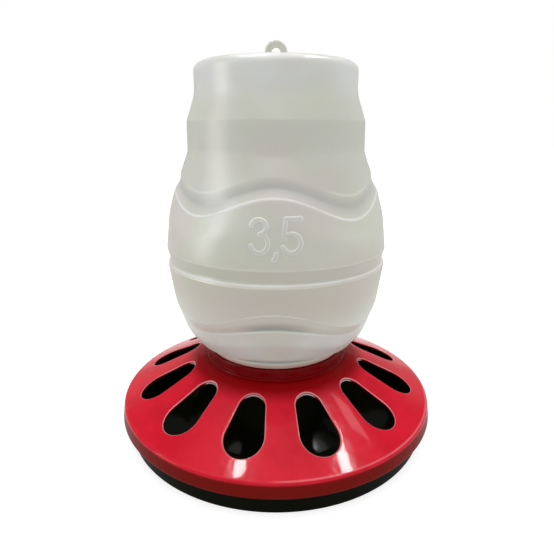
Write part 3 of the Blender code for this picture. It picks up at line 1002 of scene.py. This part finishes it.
# %% The floor
FLOOR_SIZE = 6.0
FLOOR_NEAR = 0.3
FLOOR_FAR = 1.2
FLOOR_GLOW = 0.72
FAR_GLOW = 0.2
FLOOR_DIMMING = 0.6
floor_shape = bmesh.new()
bmesh.ops.create_grid(floor_shape, x_segments=1, y_segments=1, size=FLOOR_SIZE)
floor = as_piece(floor_shape, "studio_floor", smooth=False)
paper = bpy.data.materials.new("pale_paper")
paper.use_nodes = True
tree = paper.node_tree
tree.nodes.clear()
camera_ray, mirrored = ray_kinds(tree)
matt = add_node(tree, "ShaderNodeBsdfDiffuse", {}, {"Color": (0.55, 0.55, 0.55, 1)})
spot = add_node(tree, "ShaderNodeTexCoord", {}, {}, "Object")
far = radius_of(tree, spot).ramp(FLOOR_NEAR, FLOOR_FAR)
behind = along(tree, spot, 1).ramp(0, FLOOR_NEAR)
seen = (camera_ray + mirrored * (1 - behind * FLOOR_DIMMING)).clamped()
glow = add_node(tree, "ShaderNodeEmission", {},
                {"Color": (1, 1, 1, 1), "Strength": seen * (far * FAR_GLOW + FLOOR_GLOW)})
both = add_node(tree, "ShaderNodeAddShader", {}, {0: matt, 1: glow})
add_node(tree, "ShaderNodeOutputMaterial", {}, {"Surface": both})
floor.data.materials.append(paper)

# %% The world
WORLD_LIGHT = 0.72
FROM_BEHIND = 0.2
FROM_LEFT = 0.03
CEILING_SIDE = 0.2
CEILING_MIDDLE = 1.8
BEHIND = 0.5
# shares of a direction: up to the backdrop's top edge, to the ceiling's middle, and to the back
BACKDROP_TOP = (0.32, 0.38)
CEILING_SPREAD = (0.75, 1)
BEHIND_SPREAD = (0.45, 0.9)
world = bpy.data.worlds.new("studio")
bpy.context.scene.world = world
world.use_nodes = True
tree = world.node_tree
tree.nodes.clear()
camera_ray, mirrored = ray_kinds(tree)
lighting = (1 - mirrored - camera_ray).clamped()
direction = add_node(tree, "ShaderNodeTexCoord", {}, {}, "Generated")
rightwards, backwards, upwards = (along(tree, direction, axis) for axis in range(3))
ceiling = upwards.ramp(*CEILING_SPREAD) * (CEILING_MIDDLE - CEILING_SIDE) + CEILING_SIDE
behind = 1 - backwards.ramp(*BEHIND_SPREAD) * (1 - BEHIND)
over_backdrop = upwards.ramp(*BACKDROP_TOP)
backdrop = (1 - over_backdrop) * behind + over_backdrop * ceiling
around = backwards * FROM_BEHIND - rightwards * FROM_LEFT + WORLD_LIGHT
strength = camera_ray + mirrored * backdrop + lighting * around
sky = add_node(tree, "ShaderNodeBackground", {}, {"Color": (1, 1, 1, 1), "Strength": strength})
add_node(tree, "ShaderNodeOutputWorld", {}, {"Surface": sky})

# %% The lamps
LAMPS = [
    # name, place, width, height, watts, whether it lights, whether it is mirrored
    ("top_light", (0.0, -0.1, 1.6), 2.4, 2.4, 18.0, True, False),
    ("front_light", (-0.1, -1.2, 1.5), 0.7, 0.3, 2.5, False, True),
    ("left_sheen", (-1.232, -0.307, 0.5), 0.45, 0.9, 8.0, False, True),
    ("left_glint", (-0.335, -0.02, 1.4), 0.16, 0.1, 7.0, False, True),
    ("right_glint", (0.62, 0.05, 1.33), 0.16, 0.1, 7.0, False, True),
    ("right_window", (0.83, 0.33, 1.26), 0.12, 0.13, 0.5, False, True),
]
AIM = Vector((0, 0, 0.12))
for name, spot, width, tall, watts, lights, is_mirrored in LAMPS:
    lamp = bpy.data.lights.new(name, "AREA")
    lamp.shape = "RECTANGLE"
    lamp.size = width
    lamp.size_y = tall
    lamp.energy = watts
    holder = bpy.data.objects.new(name, lamp)
    holder.location = spot
    holder.rotation_euler = (AIM - Vector(spot)).to_track_quat("-Z", "Y").to_euler()
    holder.visible_diffuse = lights
    holder.visible_glossy = is_mirrored
    bpy.context.scene.collection.objects.link(holder)
print("the studio has", len(LAMPS), "lamps")

# %% [markdown]
# ## Camera
#
# The photo was taken from slightly above, quite close, which makes the wide cover look large.
# The distance, the tilt and the focal length were worked out from the rim's oval and the rings
# of the hopper, because three ovals of known size fix a camera.

# %% The camera
CAMERA_DISTANCE = 0.36716
CAMERA_HEIGHT = 0.23486
CAMERA_TILT = 0.290
CAMERA_LENS = 30.70
CAMERA_SHIFT = (0.00184, -0.0089)
SENSOR_WIDTH = 36
NEAREST_SEEN = 0.01
eye = bpy.data.cameras.new("camera")
eye.sensor_width = SENSOR_WIDTH
eye.lens = CAMERA_LENS
eye.shift_x, eye.shift_y = CAMERA_SHIFT
eye.clip_start = NEAREST_SEEN
camera = bpy.data.objects.new("camera", eye)
camera.location = (0, -CAMERA_DISTANCE, CAMERA_HEIGHT)
camera.rotation_euler = (math.pi / 2 - CAMERA_TILT, 0, 0)
bpy.context.scene.collection.objects.link(camera)
bpy.context.scene.camera = camera
bpy.context.scene.view_settings.view_transform = "Standard"
